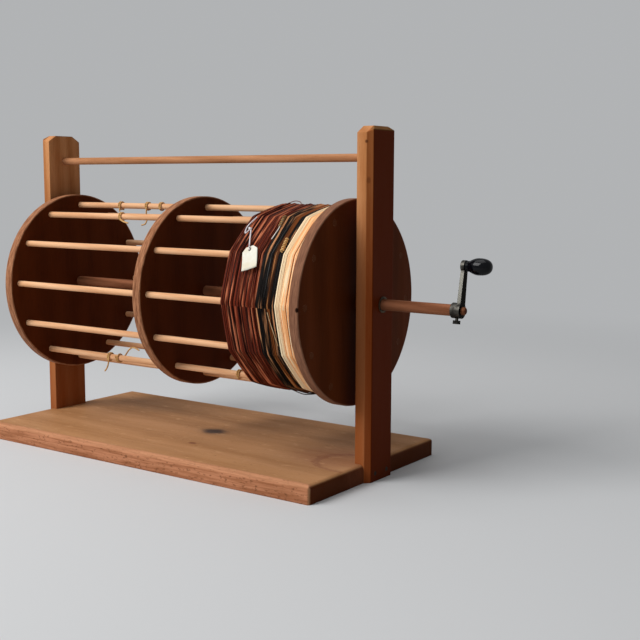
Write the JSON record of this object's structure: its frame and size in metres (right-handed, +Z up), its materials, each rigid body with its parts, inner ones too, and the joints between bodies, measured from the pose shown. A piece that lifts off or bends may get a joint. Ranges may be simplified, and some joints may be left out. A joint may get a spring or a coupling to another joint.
{
  "type": "fishing line dryer",
  "caption": "Table-top wooden dowel drum between two posts on a base board, turned by a side crank, with fishing lines wound on one bay to dry.",
  "frame": {"origin": "centre of the base board's underside, on the surface that the dryer stands on", "axes": "+X along the shaft towards the crank, +Y towards the back, +Z up"},
  "size_m": [0.7949, 0.312, 0.472],
  "materials": {
    "base_wood": "worn, waxed board with a rounded edge",
    "post_wood": "stained, darker on the outer face and towards the foot",
    "dowel_wood": "bare pale dowel",
    "disc_wood": "dark stained",
    "shaft_wood": "reddish stained rod",
    "nail_steel": "dull, set flush",
    "bushing_steel": "dull pressed metal",
    "crank_steel": "worn bare steel",
    "knob_black": "black gloss paint",
    "brown_line": "braided line",
    "black_line": "braided line",
    "tan_line": "braided line",
    "cream_line": "braided line",
    "tie_cord": "twisted cord",
    "string_cotton": "thin cotton string",
    "tag_paper": "plain card"
  },
  "bodies": {
    "stand": {"base_board": "base_wood", "left_post": "post_wood", "right_post": "post_wood", "top_rail": "dowel_wood", "post_nails": "nail_steel", "left_bushing": "bushing_steel", "right_bushing": "bushing_steel"},
    "drum": {"shaft": "shaft_wood", "left_disc": "disc_wood", "middle_disc": "disc_wood", "right_disc": "disc_wood", "left_spacer": "dowel_wood", "right_spacer": "dowel_wood", "dowel_01": "dowel_wood", "dowel_02": "dowel_wood", "dowel_03": "dowel_wood", "dowel_04": "dowel_wood", "dowel_05": "dowel_wood", "dowel_06": "dowel_wood", "dowel_07": "dowel_wood", "dowel_08": "dowel_wood", "dowel_09": "dowel_wood", "dowel_10": "dowel_wood", "dowel_11": "dowel_wood", "dowel_12": "dowel_wood", "under_layer": "brown_line", "brown_line": "brown_line", "black_line": "black_line", "tan_line": "tan_line", "edge_black_line": "black_line", "cream_line": "cream_line", "tie_1": "tie_cord", "tie_2": "tie_cord", "tie_3": "tie_cord", "tie_4": "tie_cord", "tie_5": "tie_cord", "tie_6": "tie_cord", "tie_7": "tie_cord", "string_loop": "string_cotton", "crank_arm": "crank_steel", "knob_pin": "crank_steel"},
    "knob": {"knob_ferrule": "knob_black", "crank_knob": "knob_black"},
    "thumb_screw": {"thumb_screw": "crank_steel"},
    "tag": {"tag": "tag_paper", "tag_string": "string_cotton"}
  },
  "joints": [
    {"name": "drum_spin", "type": "hinge", "parent": "stand", "child": "drum", "pos_m": [0, 0, 0.238], "axis": [1, 0, 0], "continuous": true},
    {"name": "knob_spin", "type": "hinge", "parent": "drum", "child": "knob", "pos_m": [0.455, 0.00892, 0.2943], "axis": [1, 0, 0], "continuous": true},
    {"name": "screw_turn", "type": "hinge", "parent": "drum", "child": "thumb_screw", "pos_m": [0.4294, 0, 0.238], "axis": [0, -0.1564, -0.9877], "range_deg": [0, 360]},
    {"name": "tag_swing", "type": "hinge", "parent": "drum", "child": "tag", "pos_m": [0.16095, -0.08217, 0.33638], "axis": [-1, 0, 0], "range_deg": [0, 60]}
  ]
}
